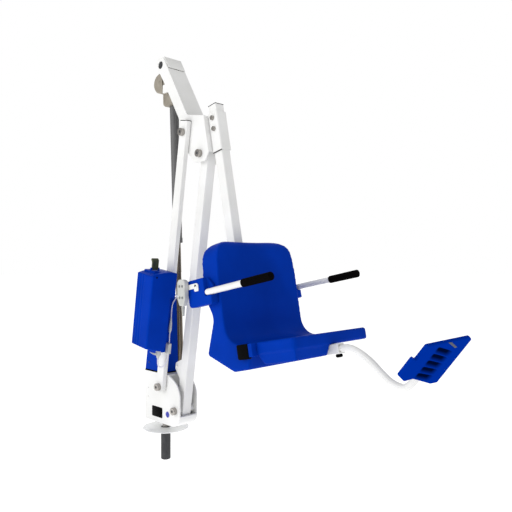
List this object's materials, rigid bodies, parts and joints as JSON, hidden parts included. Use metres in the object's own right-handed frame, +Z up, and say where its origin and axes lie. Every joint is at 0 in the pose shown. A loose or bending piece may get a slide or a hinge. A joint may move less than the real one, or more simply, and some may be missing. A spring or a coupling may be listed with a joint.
{
  "type": "pool patient lift",
  "caption": "Deck-mounted pool lift: swivelling base, parallel arms raised by an electric ram, and a hanging seat with armrests and footrest.",
  "frame": {"origin": "on the deck post's axis at deck level, under the cover disc", "axes": "+X from the deck over the pool, +Y to the side away from the control box, +Z up"},
  "size_m": [1.6427, 0.5726, 1.9871],
  "materials": {
    "white_frame": "white powder coat on stainless steel",
    "polished_steel": "polished stainless steel",
    "dark_steel": "dark passivated steel",
    "blue_plastic": "moulded blue polyethylene",
    "black_plastic": "moulded black nylon",
    "grey_plastic": "moulded light grey ABS",
    "button_rubber": "grey silicone",
    "grip_foam": "black closed-cell foam",
    "lead_sheath": "pale grey vinyl sheath",
    "actuator_casing": "taupe painted die casting",
    "actuator_tube": "grey anodised tube",
    "ram_steel": "ground stainless rod"
  },
  "bodies": {
    "anchor": {"deck_post": "dark_steel", "cover_disc": "white_frame", "swivel_stem": "polished_steel"},
    "base": {"base_bracket": "white_frame", "arm_lower_bolt": "polished_steel", "link_lower_bolt": "polished_steel", "housing_gasket": "black_plastic", "control_housing": "blue_plastic", "control_module": "black_plastic"},
    "arm": {"main_arm": "white_frame", "arm_lower_sleeve": "white_frame", "arm_upper_sleeve": "white_frame", "ram_clevis": "white_frame", "arm_stud": "polished_steel"},
    "link": {"parallel_link": "white_frame", "control_box": "blue_plastic", "box_lead": "lead_sheath", "lead_connector": "grey_plastic", "connector_tail": "lead_sheath", "lead_clip": "grey_plastic", "plug_loop": "lead_sheath", "box_plug": "grey_plastic", "plug_lever": "grey_plastic"},
    "battery": {"battery_pack": "blue_plastic"},
    "battery_bail": {"battery_handle": "black_plastic"},
    "head": {"head_bracket": "white_frame", "ear_pin": "dark_steel", "arm_upper_bolt": "polished_steel", "link_upper_bolt": "polished_steel", "hanger_sleeve": "white_frame", "hanger_post": "white_frame", "sleeve_bolt_1": "dark_steel", "sleeve_bolt_2": "dark_steel", "seat_shell": "blue_plastic", "arm_block_near": "blue_plastic", "arm_block_far": "blue_plastic", "seat_bolt_lower": "polished_steel", "seat_bolt_upper": "polished_steel", "hinge_rod": "polished_steel", "handset_hook": "white_frame", "handset": "grey_plastic"},
    "ram": {"gear_housing": "actuator_casing", "ram_motor": "actuator_casing", "ram_tube": "actuator_tube"},
    "rod": {"ram_rod": "ram_steel"},
    "near_armrest": {"armrest_near": "white_frame", "grip_near": "grip_foam"},
    "far_armrest": {"armrest_far": "white_frame", "grip_far": "grip_foam"},
    "pan": {"seat_pan": "blue_plastic", "pan_knuckle_near": "black_plastic", "pan_knuckle_far": "black_plastic", "foot_receiver": "white_frame"},
    "footrest": {"foot_tube": "white_frame", "footplate": "blue_plastic"},
    "knob": {"foot_knob": "black_plastic"},
    "up_left": {"button_up_left": "button_rubber"},
    "up_right": {"button_up_right": "button_rubber"},
    "down_left": {"button_down_left": "button_rubber"},
    "down_right": {"button_down_right": "button_rubber"}
  },
  "joints": [
    {"name": "swivel", "type": "hinge", "parent": "anchor", "child": "base", "pos_m": [0, 0, 0.05], "axis": [0, 0, 1], "range_deg": [-90, 90]},
    {"name": "lift", "type": "hinge", "parent": "base", "child": "arm", "pos_m": [0.145, 0, 0.116], "axis": [0, 1, 0], "range_deg": [0, 70]},
    {"name": "link_swing", "type": "hinge", "parent": "base", "child": "link", "pos_m": [0.054, 0, 0.222], "axis": [0, 1, 0], "range_deg": [0, 70]},
    {"name": "head_level", "type": "hinge", "parent": "arm", "child": "head", "pos_m": [0.3311, 0, 1.32091], "axis": [0, 1, 0], "range_deg": [-70, 0]},
    {"name": "ram_tilt", "type": "hinge", "parent": "head", "child": "ram", "pos_m": [0.0301, 0, 1.79191], "axis": [0, 1, 0], "range_deg": [0, 53.6]},
    {"name": "rod_draw", "type": "slide", "parent": "ram", "child": "rod", "axis": [-0.0416, 0, 0.9991], "range_m": [0, 0.5115]},
    {"name": "battery_lift", "type": "slide", "parent": "link", "child": "battery", "axis": [0.1526, 0, 0.9883], "range_m": [0, 0.06]},
    {"name": "battery_bail_turn", "type": "hinge", "parent": "battery", "child": "battery_bail", "pos_m": [0.13793, -0.1635, 0.7949], "axis": [0, 1, 0], "range_deg": [0, 85]},
    {"name": "near_armrest_raise", "type": "hinge", "parent": "head", "child": "near_armrest", "pos_m": [0.63223, -0.26, 0.71185], "axis": [0, -1, 0], "range_deg": [0, 90]},
    {"name": "far_armrest_raise", "type": "hinge", "parent": "head", "child": "far_armrest", "pos_m": [0.63223, 0.26, 0.71185], "axis": [0, -1, 0], "range_deg": [0, 90]},
    {"name": "pan_fold", "type": "hinge", "parent": "head", "child": "pan", "pos_m": [0.81697, 0, 0.49401], "axis": [0, -1, 0], "range_deg": [0, 85]},
    {"name": "footrest_reach", "type": "slide", "parent": "pan", "child": "footrest", "axis": [0.9799, 0, 0.1994], "range_m": [0, 0.06]},
    {"name": "knob_turn", "type": "hinge", "parent": "pan", "child": "knob", "pos_m": [1.07718, 0, 0.47603], "axis": [-0.1994, 0, 0.9799], "range_deg": [0, 360]},
    {"name": "press_up_left", "type": "slide", "parent": "head", "child": "up_left", "axis": [0, 1, 0], "range_m": [0, 0.0012], "stiffness_N_per_m": 400},
    {"name": "press_up_right", "type": "slide", "parent": "head", "child": "up_right", "axis": [0, 1, 0], "range_m": [0, 0.0012], "stiffness_N_per_m": 400},
    {"name": "press_down_left", "type": "slide", "parent": "head", "child": "down_left", "axis": [0, 1, 0], "range_m": [0, 0.0012], "stiffness_N_per_m": 400},
    {"name": "press_down_right", "type": "slide", "parent": "head", "child": "down_right", "axis": [0, 1, 0], "range_m": [0, 0.0012], "stiffness_N_per_m": 400}
  ],
  "couplings": [
    {"joint": "link_swing", "follows": "lift", "ratio": 1},
    {"joint": "head_level", "follows": "lift", "ratio": -1},
    {"joint": "ram_tilt", "follows": "lift", "ratio": 0.765},
    {"joint": "rod_draw", "follows": "lift", "m_per_rad": 0.41826}
  ]
}
